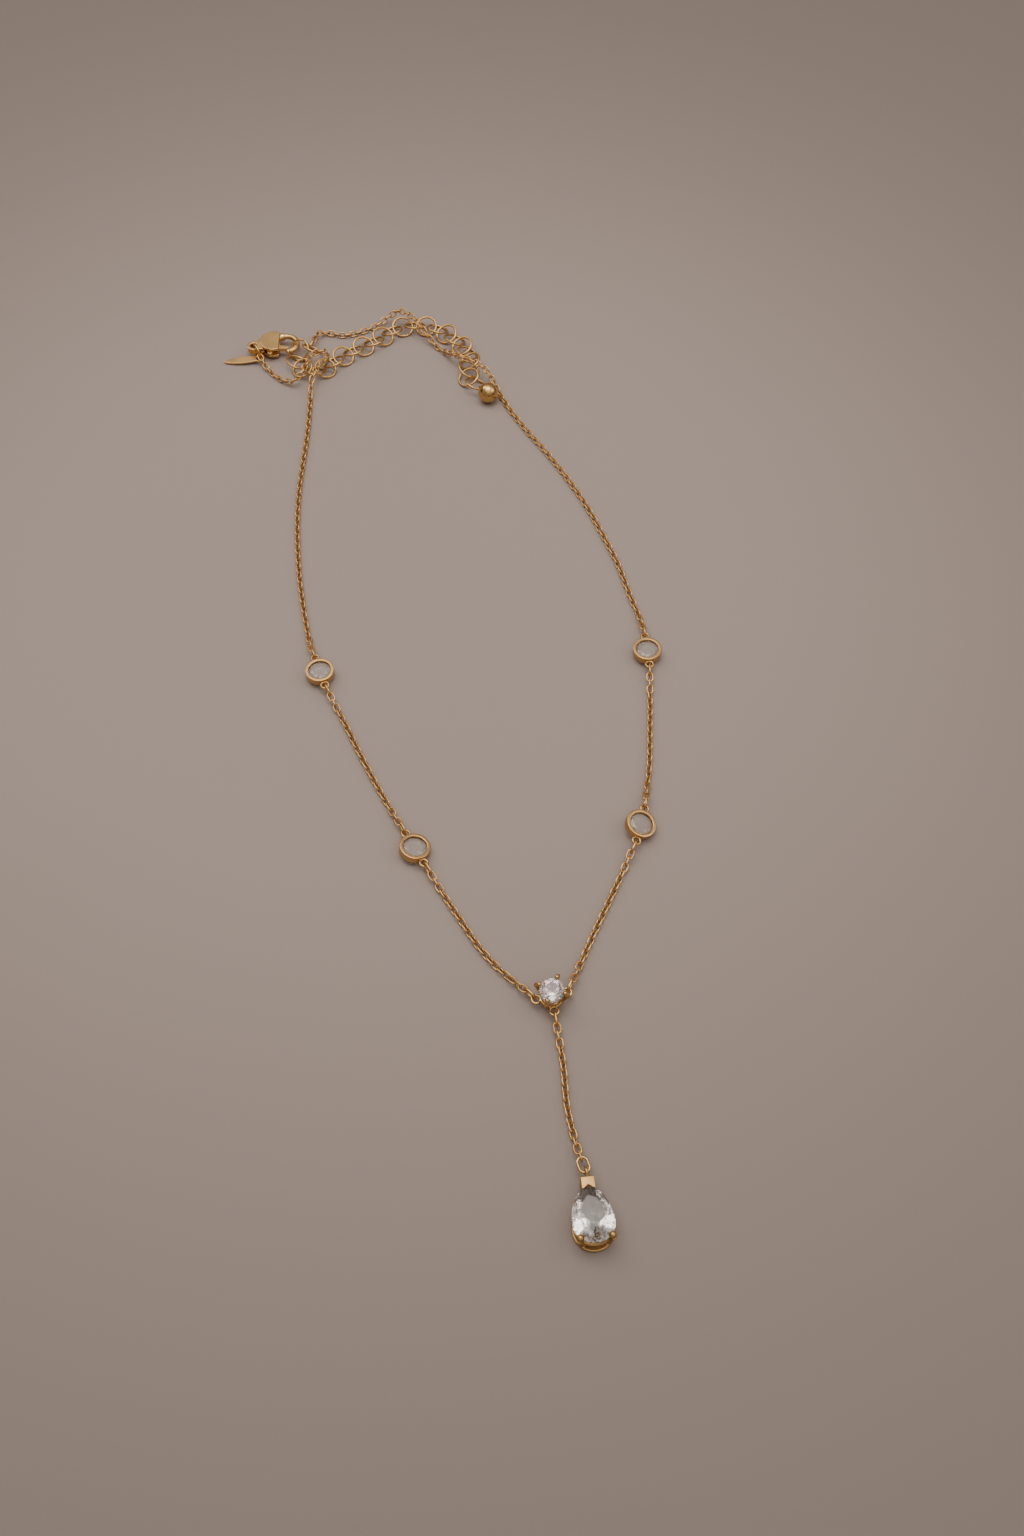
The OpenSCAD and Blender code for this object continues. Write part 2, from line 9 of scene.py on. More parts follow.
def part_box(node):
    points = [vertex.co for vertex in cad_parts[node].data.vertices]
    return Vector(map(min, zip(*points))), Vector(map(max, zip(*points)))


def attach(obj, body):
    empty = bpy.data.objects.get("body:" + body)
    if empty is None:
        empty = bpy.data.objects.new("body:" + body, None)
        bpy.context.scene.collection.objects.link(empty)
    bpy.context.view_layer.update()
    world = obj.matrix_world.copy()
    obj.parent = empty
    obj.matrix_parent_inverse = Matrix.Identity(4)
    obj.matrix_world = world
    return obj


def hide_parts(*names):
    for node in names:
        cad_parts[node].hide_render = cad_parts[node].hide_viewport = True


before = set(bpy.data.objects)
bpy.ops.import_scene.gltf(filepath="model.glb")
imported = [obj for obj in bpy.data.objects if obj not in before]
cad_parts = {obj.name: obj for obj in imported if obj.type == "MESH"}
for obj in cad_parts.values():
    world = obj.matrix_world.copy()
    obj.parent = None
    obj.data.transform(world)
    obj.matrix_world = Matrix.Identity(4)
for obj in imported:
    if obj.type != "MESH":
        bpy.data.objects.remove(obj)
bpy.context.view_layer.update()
MM = 0.001

# The camera.
# It looks down at the lying necklace at 56.5 degrees, from the side of the
# drop, with a 33 mm lens on the long side of the picture.
LENS_MM = 32.81
SENSOR_MM = 36.0
CAMERA_SPOT_MM = (-5.94, -87.17, 194.94)
CAMERA_TILT_DEG = 33.5
CLIP_NEAR_M = 0.01
CLIP_FAR_M = 20.0

camera = bpy.data.objects.new("camera", bpy.data.cameras.new("camera"))
camera.data.sensor_fit = "VERTICAL"
camera.data.sensor_height = SENSOR_MM
camera.data.lens = LENS_MM
camera.data.clip_start = CLIP_NEAR_M
camera.data.clip_end = CLIP_FAR_M
camera.location = Vector(CAMERA_SPOT_MM) * MM
camera.rotation_euler = (math.radians(CAMERA_TILT_DEG), 0.0, 0.0)
bpy.context.scene.collection.objects.link(camera)
bpy.context.scene.camera = camera

# The surface that the necklace lies on.
# A smooth warm grey sheet of paper board with a faint mottle. Its colour holds a painted pool of light:
# palest around the necklace and painted darker outwards as shade. It carries everything and is not part of it.
FLOOR_HALF_M = 3.0
FLOOR_COLOR = (0.325, 0.270, 0.244)
FLOOR_SHADE = (0.308, 0.255, 0.231)
# The next five values paint a pool of light into the floor's colour: a darker painted shade outwards, and the
# pool's middle and width.
FLOOR_PAINTED_SHADE_EDGE = (0.198, 0.164, 0.147)
PAINTED_POOL_MIDDLE_M = (-0.03, 0.085)
PAINTED_POOL_SIZE_M = 0.34
PAINTED_POOL_FADE_FROM = 0.08
PAINTED_POOL_FADE_TO = 0.72
FLOOR_ROUGHNESS = 0.75
FLOOR_SHINE = 0.2
MOTTLE_SCALE = 9.0
MOTTLE_DETAIL = 3.0
TOOTH_SCALE = 2500.0
TOOTH_STRENGTH = 0.05
TOOTH_DEPTH_M = 0.0001


def mesh_piece(name, verts, faces, material, smooth=True):
    """An object in the scene, made of the given vertices and faces in metres."""
    mesh = bpy.data.meshes.new(name)
    mesh.from_pydata([tuple(v) for v in verts], [], [tuple(f) for f in faces])
    mesh.materials.append(material)
    mesh.polygons.foreach_set("use_smooth", [smooth] * len(mesh.polygons))
    mesh.update()
    piece = bpy.data.objects.new(name, mesh)
    bpy.context.scene.collection.objects.link(piece)
    return piece


def plain_material(name):
    """A new material, its node tree and its Principled shader."""
    material = bpy.data.materials.new(name)
    material.use_nodes = True
    return material, material.node_tree, material.node_tree.nodes["Principled BSDF"]


paper, tree, shader = plain_material("grey_paper_board_painted_pool")
shader.inputs["Roughness"].default_value = FLOOR_ROUGHNESS
shader.inputs["Specular IOR Level"].default_value = FLOOR_SHINE

# Faint mottle between two near tones.
coords = tree.nodes.new("ShaderNodeTexCoord")
mottle = tree.nodes.new("ShaderNodeTexNoise")
mottle.inputs["Scale"].default_value = MOTTLE_SCALE
mottle.inputs["Detail"].default_value = MOTTLE_DETAIL
blend = tree.nodes.new("ShaderNodeMix")
blend.data_type = "RGBA"
blend.inputs["A"].default_value = (*FLOOR_SHADE, 1.0)
blend.inputs["B"].default_value = (*FLOOR_COLOR, 1.0)
tree.links.new(coords.outputs["Object"], mottle.inputs["Vector"])
tree.links.new(mottle.outputs["Fac"], blend.inputs["Factor"])

# Painted pool of light: the colour fades slowly to a darker painted shade away from the necklace.
place = tree.nodes.new("ShaderNodeMapping")
place.inputs["Location"].default_value = (-PAINTED_POOL_MIDDLE_M[0] / PAINTED_POOL_SIZE_M,
                                          -PAINTED_POOL_MIDDLE_M[1] / PAINTED_POOL_SIZE_M, 0.0)
place.inputs["Scale"].default_value = (1 / PAINTED_POOL_SIZE_M,) * 3
painted_pool = tree.nodes.new("ShaderNodeTexGradient")
painted_pool.gradient_type = "QUADRATIC_SPHERE"
painted_pool_fade = tree.nodes.new("ShaderNodeMapRange")
painted_pool_fade.interpolation_type = "SMOOTHSTEP"
painted_pool_fade.inputs["From Min"].default_value = PAINTED_POOL_FADE_FROM
painted_pool_fade.inputs["From Max"].default_value = PAINTED_POOL_FADE_TO
painted_pool_mix = tree.nodes.new("ShaderNodeMix")
painted_pool_mix.data_type = "RGBA"
painted_pool_mix.inputs["A"].default_value = (*FLOOR_PAINTED_SHADE_EDGE, 1.0)
tree.links.new(coords.outputs["Object"], place.inputs["Vector"])
tree.links.new(place.outputs["Vector"], painted_pool.inputs["Vector"])
tree.links.new(painted_pool.outputs["Fac"], painted_pool_fade.inputs["Value"])
tree.links.new(painted_pool_fade.outputs["Result"], painted_pool_mix.inputs["Factor"])
tree.links.new(blend.outputs["Result"], painted_pool_mix.inputs["B"])
tree.links.new(painted_pool_mix.outputs["Result"], shader.inputs["Base Color"])

# Fine tooth of the paper.
grain = tree.nodes.new("ShaderNodeTexNoise")
grain.inputs["Scale"].default_value = TOOTH_SCALE
tooth = tree.nodes.new("ShaderNodeBump")
tooth.inputs["Strength"].default_value = TOOTH_STRENGTH
tooth.inputs["Distance"].default_value = TOOTH_DEPTH_M
tree.links.new(coords.outputs["Object"], grain.inputs["Vector"])
tree.links.new(grain.outputs["Fac"], tooth.inputs["Height"])
tree.links.new(tooth.outputs["Normal"], shader.inputs["Normal"])

board_corners = [(x * FLOOR_HALF_M, y * FLOOR_HALF_M, 0.0)
                 for x, y in ((-1, -1), (1, -1), (1, 1), (-1, 1))]
board = mesh_piece("paper_board", board_corners, [(0, 1, 2, 3)], paper, False)

# The light.
# Three broad dim lamps, one above and one to each side, in a warm grey room
# that is brighter overhead and has panels of unlike brightness to mirror.
ROOM_LOW = (0.09, 0.07, 0.055)
ROOM_MIDDLE = (0.20, 0.175, 0.155)
ROOM_MIDDLE_AT = 0.55
ROOM_HIGH = (0.62, 0.57, 0.53)
ROOM_STRENGTH = 2.1
PANEL_SCALE = 5.0
PANEL_DARKEST = 0.1
PANEL_BRIGHTEST = 1.9
LAMPS_AIM_M = (-0.01, 0.06, 0.0)
LAMPS = (  # name, place in metres, width in metres, watts, colour
    ("lamp_above", (-0.03, 0.14, 0.42), 0.34, 0.95, (1.0, 0.95, 0.9)),
    ("lamp_left", (-0.5, 0.5, 0.6), 0.4, 1.2, (1.0, 0.93, 0.86)),
    ("lamp_right", (0.55, 0.1, 0.5), 0.4, 0.8, (1.0, 0.93, 0.86)))

room = bpy.data.worlds.new("room")
bpy.context.scene.world = room
room.use_nodes = True
room_nodes, room_links = room.node_tree.nodes, room.node_tree.links
background = room_nodes["Background"]
sky = room_nodes.new("ShaderNodeTexCoord")
height = room_nodes.new("ShaderNodeSeparateXYZ")
bands = room_nodes.new("ShaderNodeValToRGB")
bands.color_ramp.elements[0].color = (*ROOM_LOW, 1)
bands.color_ramp.elements[1].color = (*ROOM_HIGH, 1)
bands.color_ramp.elements.new(ROOM_MIDDLE_AT).color = (*ROOM_MIDDLE, 1)
panels = room_nodes.new("ShaderNodeTexVoronoi")
panels.inputs["Scale"].default_value = PANEL_SCALE
panel_value = room_nodes.new("ShaderNodeSeparateColor")
panel_light = room_nodes.new("ShaderNodeMapRange")
panel_light.inputs["To Min"].default_value = PANEL_DARKEST
panel_light.inputs["To Max"].default_value = PANEL_BRIGHTEST
lit = room_nodes.new("ShaderNodeMix")
lit.data_type = "RGBA"
lit.blend_type = "MULTIPLY"
lit.inputs["Factor"].default_value = 1.0
room_links.new(sky.outputs["Generated"], height.inputs["Vector"])
room_links.new(height.outputs["Z"], bands.inputs["Fac"])
room_links.new(sky.outputs["Generated"], panels.inputs["Vector"])
room_links.new(panels.outputs["Color"], panel_value.inputs["Color"])
room_links.new(panel_value.outputs["Red"], panel_light.inputs["Value"])
room_links.new(bands.outputs["Color"], lit.inputs["A"])
room_links.new(panel_light.outputs["Result"], lit.inputs["B"])
room_links.new(lit.outputs["Result"], background.inputs["Color"])
background.inputs["Strength"].default_value = ROOM_STRENGTH

for lamp_name, spot, width, watts, tint in LAMPS:
    lamp = bpy.data.objects.new(lamp_name, bpy.data.lights.new(lamp_name, "AREA"))
    lamp.data.shape = "DISK"
    lamp.data.size = width
    lamp.data.energy = watts
    lamp.data.color = tint
    lamp.location = spot
    aim = Vector(LAMPS_AIM_M) - Vector(spot)
    lamp.rotation_euler = aim.to_track_quat("-Z", "Y").to_euler()
    bpy.context.scene.collection.objects.link(lamp)

# The fine cable chain of the front: drop, fronts and middles.
# Each link is one turn of round gold-plated wire, soldered shut, and every
# link stands a quarter turn from the one before.
LINK_MM = (1.9, 1.3, 0.3)  # length, width, wire
LINK_STEPS = (36, 12)  # along the link, around its wire
FRONT_CHAINS = ("chain_drop", "chain_left_front", "chain_right_front", "chain_left_mid", "chain_right_mid")
WEAR_DETAIL = 4.0
WEAR_FROM = 0.3
WEAR_TO = 0.7
PORE_SCALE = 3000.0
PORE_DETAIL = 3.0
PORE_DEPTH_M = 0.00002
MERGE_M = 1e-6


def worn_metal():
    """Node group: a metal's colour, roughness and surface, with faint handling wear."""
    group = bpy.data.node_groups.new("handled_metal", "ShaderNodeTree")
    for label, kind in (("Bright", "Color"), ("Shade", "Color"), ("Scale", "Float"),
                        ("Smoothest", "Float"), ("Roughest", "Float"), ("Relief", "Float")):
        group.interface.new_socket(label, in_out="INPUT", socket_type="NodeSocket" + kind)
    for label, kind in (("Color", "Color"), ("Roughness", "Float"), ("Normal", "Vector")):
        group.interface.new_socket(label, in_out="OUTPUT", socket_type="NodeSocket" + kind)
    nodes, links = group.nodes, group.links
    inside, out = nodes.new("NodeGroupInput"), nodes.new("NodeGroupOutput")
    where = nodes.new("ShaderNodeTexCoord")
    cloud = nodes.new("ShaderNodeTexNoise")
    cloud.inputs["Detail"].default_value = WEAR_DETAIL
    links.new(where.outputs["Object"], cloud.inputs["Vector"])
    links.new(inside.outputs["Scale"], cloud.inputs["Scale"])
    tone = nodes.new("ShaderNodeMix")
    tone.data_type = "RGBA"
    links.new(cloud.outputs["Fac"], tone.inputs["Factor"])
    links.new(inside.outputs["Bright"], tone.inputs["A"])
    links.new(inside.outputs["Shade"], tone.inputs["B"])
    links.new(tone.outputs["Result"], out.inputs["Color"])
    gloss = nodes.new("ShaderNodeMapRange")
    gloss.inputs["From Min"].default_value = WEAR_FROM
    gloss.inputs["From Max"].default_value = WEAR_TO
    links.new(cloud.outputs["Fac"], gloss.inputs["Value"])
    links.new(inside.outputs["Smoothest"], gloss.inputs["To Min"])
    links.new(inside.outputs["Roughest"], gloss.inputs["To Max"])
    links.new(gloss.outputs["Result"], out.inputs["Roughness"])
    pores = nodes.new("ShaderNodeTexNoise")
    pores.inputs["Scale"].default_value = PORE_SCALE
    pores.inputs["Detail"].default_value = PORE_DETAIL
    links.new(where.outputs["Object"], pores.inputs["Vector"])
    bump = nodes.new("ShaderNodeBump")
    bump.inputs["Distance"].default_value = PORE_DEPTH_M
    links.new(inside.outputs["Relief"], bump.inputs["Strength"])
    links.new(pores.outputs["Fac"], bump.inputs["Height"])
    links.new(bump.outputs["Normal"], out.inputs["Normal"])
    return group


handled_metal = worn_metal()


def gold(name, bright, shade, scale, smoothest, roughest, relief):
    """A plated metal between two tones and two roughnesses, with its own relief."""
    material, tree, shader = plain_material(name)
    wear = tree.nodes.new("ShaderNodeGroup")
    wear.node_tree = handled_metal
    wear.inputs["Bright"].default_value = (*bright, 1.0)
    wear.inputs["Shade"].default_value = (*shade, 1.0)
    for label, value in (("Scale", scale), ("Smoothest", smoothest), ("Roughest", roughest), ("Relief", relief)):
        wear.inputs[label].default_value = value
    shader.inputs["Metallic"].default_value = 1.0
    tree.links.new(wear.outputs["Color"], shader.inputs["Base Color"])
    tree.links.new(wear.outputs["Roughness"], shader.inputs["Roughness"])
    tree.links.new(wear.outputs["Normal"], shader.inputs["Normal"])
    return material


def ring_parts(node):
    """Each loose ring of a chain's solid: its middle and its long, cross and normal directions."""
    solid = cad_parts[node]
    work = bmesh.new()
    work.from_mesh(solid.data)
    work.transform(solid.matrix_world)
    bmesh.ops.remove_doubles(work, verts=work.verts, dist=MERGE_M)
    seen, parts = set(), []
    for start in work.verts:
        if start.index in seen:
            continue
        seen.add(start.index)
        batch, queue = [], [start]
        while queue:
            vert = queue.pop()
            batch.append(vert.co.copy())
            for edge in vert.link_edges:
                other = edge.other_vert(vert)
                if other.index not in seen:
                    seen.add(other.index)
                    queue.append(other)
        cloud = np.array(batch)
        _, _, axes = np.linalg.svd(cloud - cloud.mean(0), full_matrices=False)
        if np.linalg.det(axes) < 0:
            axes[2] = -axes[2]
        flat = cloud @ axes.T
        middle = (flat.max(0) + flat.min(0)) / 2
        parts.append((middle @ axes, axes))
    work.free()
    return parts


def oval_wire(length, width, wire, along, around):
    """One closed link in millimetres, flat, its length along X."""
    radius, reach = (width - wire) / 2, (length - width) / 2
    verts, faces = [], []
    for i in range(along):
        turn = 2 * math.pi * i / along
        out = Vector((math.cos(turn), math.sin(turn), 0))
        end = 0 if abs(out.x) <= 1e-6 else math.copysign(1, out.x)
        spot = Vector((reach * end, 0, 0)) + out * radius
        for k in range(around):
            a = 2 * math.pi * k / around
            verts.append(spot + (out * math.cos(a) + Vector((0, 0, 1)) * math.sin(a)) * wire / 2)
    for i in range(along):
        here, ahead = i * around, ((i + 1) % along) * around
        for k in range(around):
            beside = (k + 1) % around
            faces.append((here + k, ahead + k, ahead + beside, here + beside))
    return np.array(verts), np.array(faces)


def set_links(name, spots, shape, steps, material, body):
    """One gold piece made of a copy of the link at each spot: middle and axes in metres."""
    verts, faces = oval_wire(*shape, *steps)
    all_verts, all_faces = [], []
    for middle, axes in spots:
        all_faces.append(faces + len(all_verts) * len(verts))
        all_verts.append(verts * MM @ np.array(axes) + np.array(middle))
    piece = mesh_piece(name, np.concatenate(all_verts), np.concatenate(all_faces), material)
    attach(piece, body)
    return piece


chain_gold = gold("gold_chain_wire", bright=(0.73, 0.46, 0.19), shade=(0.56, 0.32, 0.11),
                  scale=700.0, smoothest=0.28, roughest=0.42, relief=0.15)
for chain in FRONT_CHAINS:
    links = set_links(chain + "_links", ring_parts(chain), LINK_MM, LINK_STEPS, chain_gold, "necklace")
    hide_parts(chain)

# The two long fine chains that go round the neck.
# They are the same cable chain, laid in loose curves: the left one bunches on
# the extender, and the right one runs back beside it to the clasp.
LEFT_BACK_MM = [(-40.36, 63.9, 1.4), (-41.3, 66.4, 1.1), (-42.2, 70, .6), (-43.3, 75, .57), (-44.7, 82.5, .57),
                (-45.7, 90, .57), (-46.4, 97.5, .57), (-46.7, 105, .57), (-46.6, 112.5, .57), (-46.4, 120, .57),
                (-46.5, 127.5, .57), (-46.6, 131.2, .6), (-46.5, 133.8, 2.1), (-45.9, 136, 3), (-44.8, 138.3, 3),
                (-43.7, 140.3, 2.95), (-44.2, 142.2, 2.95), (-46.2, 141.8, 2.95), (-47.4, 139.8, 2.95),
                (-48.4, 136.8, 2.7), (-50.2, 135.2, 1.4), (-52.6, 136.2, .7), (-54.9, 138.3, .57),
                (-56.6, 140.4, 1), (-57.78, 142.34, 1.7)]
RIGHT_BACK_MM = [(17.58, 68.8, 1.4), (17.3, 71.4, 1.1), (16.6, 75, .6), (15.4, 79.2, .57), (13.5, 86.8, .57),
                 (10.9, 94.2, .57), (8.1, 101.5, .57), (4.7, 108.6, .57), (.9, 115.4, .57), (-3.2, 122, .57),
                 (-6.2, 127.4, .57), (-8, 131.2, .57), (-9.2, 134.2, .8), (-10.9, 136.8, 2.4), (-13.3, 138.9, 2.95),
                 (-16.1, 140.5, 2.95), (-18.4, 142.6, 2), (-20, 144.9, .7), (-22, 147, .8), (-24.2, 149.4, 2.3),
                 (-25.9, 151.8, 2.95), (-27.6, 153.9, 2.95), (-29.7, 155.2, 2.7), (-32, 154.6, 1.6),
                 (-34.8, 152.7, .7), (-37.8, 151.1, .57), (-40.9, 150.1, .57), (-43.6, 150.6, .6),
                 (-45.7, 150.4, .9), (-46.75, 149.4, 1.2), (-47.16, 147.75, 1.18)]
LINK_PITCH_MM = 1.2
LINK_REACH_MM = 0.6
START_HOLD_MM = 2.7
LEFT_END_HOLD_MM = 0.38
RIGHT_END_HOLD_MM = 0.42
LEAN_DEG = 45
LEAN_LINKS = 4


def curve_through(points, steps=10):
    """Catmull-Rom curve through the points, and the length run at each of its points."""
    p = [np.array(q, float) for q in points]
    p = [2 * p[0] - p[1]] + p + [2 * p[-1] - p[-2]]
    out = []
    for a, b, c, d in zip(p, p[1:], p[2:], p[3:]):
        for j in range(steps):
            t = j / steps
            out.append((2 * b + (c - a) * t + (2 * a - 5 * b + 4 * c - d) * t ** 2
                        + (3 * b - a - 3 * c + d) * t ** 3) / 2)
    out.append(p[-2])
    out = np.array(out)
    run = np.concatenate([[0], np.cumsum(np.linalg.norm(np.diff(out, axis=0), axis=1))])
    return out, run


def point_at(curve, run, s):
    """The point of the curve at length s."""
    return np.array([np.interp(s, run, curve[:, k]) for k in range(3)])


def link_lean(i, count):
    """Degrees that link i of a chain leans over: it grows from a flat first and to a flat last link."""
    step = LEAN_DEG / LEAN_LINKS
    left = count - 1 - i
    if i < LEAN_LINKS:
        return step * i
    if left >= LEAN_LINKS:
        return LEAN_DEG
    return step * left if count % 2 else 90 - step * left


def laid_links(points, start_hold, end_hold):
    """Middles and axes of fine links along a route, flat at both ends and leaning between."""
    curve, run = curve_through(points)
    span = run[-1] - start_hold - end_hold
    count = 1 + math.ceil(span / LINK_PITCH_MM - 0.001)
    spots = []
    for i in range(count):
        s = start_hold + span * i / (count - 1)
        ahead = (point_at(curve, run, min(s + LINK_REACH_MM, run[-1]))
                 - point_at(curve, run, max(s - LINK_REACH_MM, 0)))
        ahead /= np.linalg.norm(ahead)
        side = np.array([-ahead[1], ahead[0], 0]) / math.hypot(ahead[0], ahead[1])
        up = np.cross(ahead, side)
        roll = math.radians(90 * i + link_lean(i, count))
        across = side * math.cos(roll) + up * math.sin(roll)
        spots.append((point_at(curve, run, s) * MM, np.array([ahead, across, np.cross(ahead, across)])))
    return spots


for chain, route, end_hold in (("chain_left_back", LEFT_BACK_MM, LEFT_END_HOLD_MM),
                               ("chain_right_back", RIGHT_BACK_MM, RIGHT_END_HOLD_MM)):
    spots = laid_links(route, START_HOLD_MM, end_hold)
    links = set_links(chain + "_links", spots, LINK_MM, LINK_STEPS, chain_gold, "necklace")
    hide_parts(chain)

# Jump rings, the extender's rings and the ring in the clasp's lug.
# They are bent from thicker round wire than the links, left with a closed
# seam, and polished.
JUMP_RING_MM = (2.6, 1.9, 0.4)  # length, width, wire
RING_SHAPES_MM = {"jumps_left": JUMP_RING_MM, "jumps_right": JUMP_RING_MM, "jumps_centre": JUMP_RING_MM,
                  "jump_bail": JUMP_RING_MM, "extender_ring": JUMP_RING_MM,
                  "extender_chain": (4.6, 4.6, 0.45), "clasp_ring": (3.4, 3.4, 0.5)}
RING_STEPS = (48, 16)

ring_gold = gold("gold_ring_wire", bright=(0.69, 0.43, 0.17), shade=(0.55, 0.32, 0.10),
                 scale=500.0, smoothest=0.24, roughest=0.36, relief=0.1)
for node, shape in RING_SHAPES_MM.items():
    rings = set_links(node + "_rings", ring_parts(node), shape, RING_STEPS, ring_gold, "necklace")
    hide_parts(node)

# Cast pieces: the settings, the clasp, its lever, the end ball and the tag.
# They are cast or stamped brass, tumbled until every edge is soft, then
# plated with gold.
pear_gold = gold("gold_pear_setting", bright=(0.54, 0.34, 0.13), shade=(0.42, 0.25, 0.09),
                 scale=900.0, smoothest=0.32, roughest=0.44, relief=0.5)
cast_gold = gold("gold_cast_polished", bright=(0.70, 0.45, 0.18), shade=(0.56, 0.34, 0.12),
                 scale=400.0, smoothest=0.16, roughest=0.28, relief=0.1)
satin_gold = gold("gold_clasp_satin", bright=(0.78, 0.52, 0.23), shade=(0.68, 0.43, 0.17),
                  scale=400.0, smoothest=0.24, roughest=0.38, relief=0.35)
CAST_PIECES = (  # node, body, piece, skin's step in millimetres, passes of tumbling, metal
    ("centre_setting", "necklace", "centre_prong_setting", 0.05, 6, cast_gold),
    ("pear_setting", "necklace", "pear_prong_setting", 0.06, 24, pear_gold),
    ("clasp_body", "necklace", "lobster_clasp_body", 0.055, 6, satin_gold),
    ("clasp_lever", "lever", "lobster_clasp_lever", 0.045, 6, satin_gold),
    ("end_ball", "necklace", "extender_end_ball", 0.06, 6, cast_gold),
    ("tag", "necklace", "bare_leaf_tag", 0.05, 6, satin_gold))
TUMBLING = 0.5


def softened(node, body, name, skin_mm, passes, material):
    """A finer copy of a solid with its edges rounded as tumbling leaves them."""
    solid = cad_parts[node]
    mesh = solid.data.copy()
    mesh.transform(solid.matrix_world)
    work = bmesh.new()
    work.from_mesh(mesh)
    bmesh.ops.remove_doubles(work, verts=work.verts, dist=MERGE_M)
    work.to_mesh(mesh)
    work.free()
    rough = bpy.data.objects.new(name + "_rough", mesh)
    bpy.context.scene.collection.objects.link(rough)
    remesh = rough.modifiers.new("skin", "REMESH")
    remesh.mode = "VOXEL"
    remesh.voxel_size = skin_mm * MM
    ease = rough.modifiers.new("ease", "SMOOTH")
    ease.factor = TUMBLING
    ease.iterations = passes
    fine = bpy.data.meshes.new_from_object(rough.evaluated_get(bpy.context.evaluated_depsgraph_get()))
    bpy.data.objects.remove(rough)
    fine.materials.clear()
    fine.materials.append(material)
    fine.polygons.foreach_set("use_smooth", [True] * len(fine.polygons))
    piece = bpy.data.objects.new(name, fine)
    bpy.context.scene.collection.objects.link(piece)
    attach(piece, body)
    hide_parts(node)


for cast_piece in CAST_PIECES:
    softened(*cast_piece)

# Round bezels.
# A turned ring of gold-plated brass, open at the back, whose lips hold the
# girdle of the stone, with a small loop soldered to each side.
BEZELS = {  # place in millimetres, heading and lean in degrees
    "left_back": ((-39.3, 61.0), -70, 0), "right_back": ((17.8, 65.7), -86, 0),
    "left_front": ((-21.5, 25.7), -60, 168), "right_front": ((14.8, 29.9), -105, -18)}
BEZEL_OUTER_MM = 2.5
BEZEL_LIP_MM = 1.93
BEZEL_GROOVE_MM = 2.05
BEZEL_HALF_HEIGHT_MM = 0.65
LIP_HALF_HEIGHT_MM = 0.32
GROOVE_HALF_HEIGHT_MM = 0.2
BEZEL_ROUNDING_MM = 0.12
BEZEL_STEPS = 96
LOOP_MM = (1.7, 1.7, 0.4)  # length, width, wire
LOOP_STEPS = (40, 14)
LOOP_OUT_MM = 3.1


def bezel_place(key):
    """Matrix of a bezel: flat in its own plane, its chain along X."""
    low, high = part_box("bezel_" + key)
    spot, heading, lean = BEZELS[key]
    middle = Vector((spot[0] * MM, spot[1] * MM, (low[2] + high[2]) / 2))
    return (Matrix.Translation(middle) @ Matrix.Rotation(math.radians(heading), 4, "Z")
            @ Matrix.Rotation(math.radians(lean), 4, "X"))


def turned(profile, steps):
    """Lathe a closed profile of (radius, height) pairs round Z."""
    n = len(profile)
    verts = [(r * math.cos(2 * math.pi * i / steps), r * math.sin(2 * math.pi * i / steps), z)
             for i in range(steps) for r, z in profile]
    faces = [(i * n + k, ((i + 1) % steps) * n + k, ((i + 1) % steps) * n + (k + 1) % n, i * n + (k + 1) % n)
             for i in range(steps) for k in range(n)]
    return verts, faces


def rounded(corners, radius, steps=4):
    """Round each corner of a closed outline of 2D points."""
    out = []
    n = len(corners)
    for i in range(n):
        a, b, c = (np.array(corners[(i + k - 1) % n], float) for k in range(3))
        u, v = a - b, c - b
        cut = min(radius, np.linalg.norm(u) / 2.2, np.linalg.norm(v) / 2.2)
        p, q = b + u / np.linalg.norm(u) * cut, b + v / np.linalg.norm(v) * cut
        for j in range(steps + 1):
            t = j / steps
            out.append(tuple((1 - t) ** 2 * p + 2 * t * (1 - t) * b + t * t * q))
    return out


bezel_profile = rounded([(BEZEL_LIP_MM, -BEZEL_HALF_HEIGHT_MM), (BEZEL_OUTER_MM, -BEZEL_HALF_HEIGHT_MM),
                         (BEZEL_OUTER_MM, BEZEL_HALF_HEIGHT_MM), (BEZEL_LIP_MM, BEZEL_HALF_HEIGHT_MM),
                         (BEZEL_LIP_MM, LIP_HALF_HEIGHT_MM), (BEZEL_GROOVE_MM, GROOVE_HALF_HEIGHT_MM),
                         (BEZEL_GROOVE_MM, -GROOVE_HALF_HEIGHT_MM), (BEZEL_LIP_MM, -LIP_HALF_HEIGHT_MM)],
                        BEZEL_ROUNDING_MM)
bezel_gold = gold("gold_bezel", bright=(0.66, 0.41, 0.17), shade=(0.54, 0.32, 0.12),
                  scale=450.0, smoothest=0.22, roughest=0.34, relief=0.1)
for key in BEZELS:
    place = bezel_place(key)
    verts, faces = turned(bezel_profile, BEZEL_STEPS)
    for x in (-LOOP_OUT_MM, LOOP_OUT_MM):
        loop_verts, loop_faces = oval_wire(*LOOP_MM, *LOOP_STEPS)
        faces = faces + [tuple(int(q) + len(verts) for q in f) for f in loop_faces]
        verts = verts + [(v[0] + x, v[1], v[2]) for v in loop_verts]
    piece = mesh_piece("bezel_" + key + "_turned", [place @ (Vector(v) * MM) for v in verts], faces, bezel_gold)
    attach(piece, "necklace")
    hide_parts("bezel_" + key)
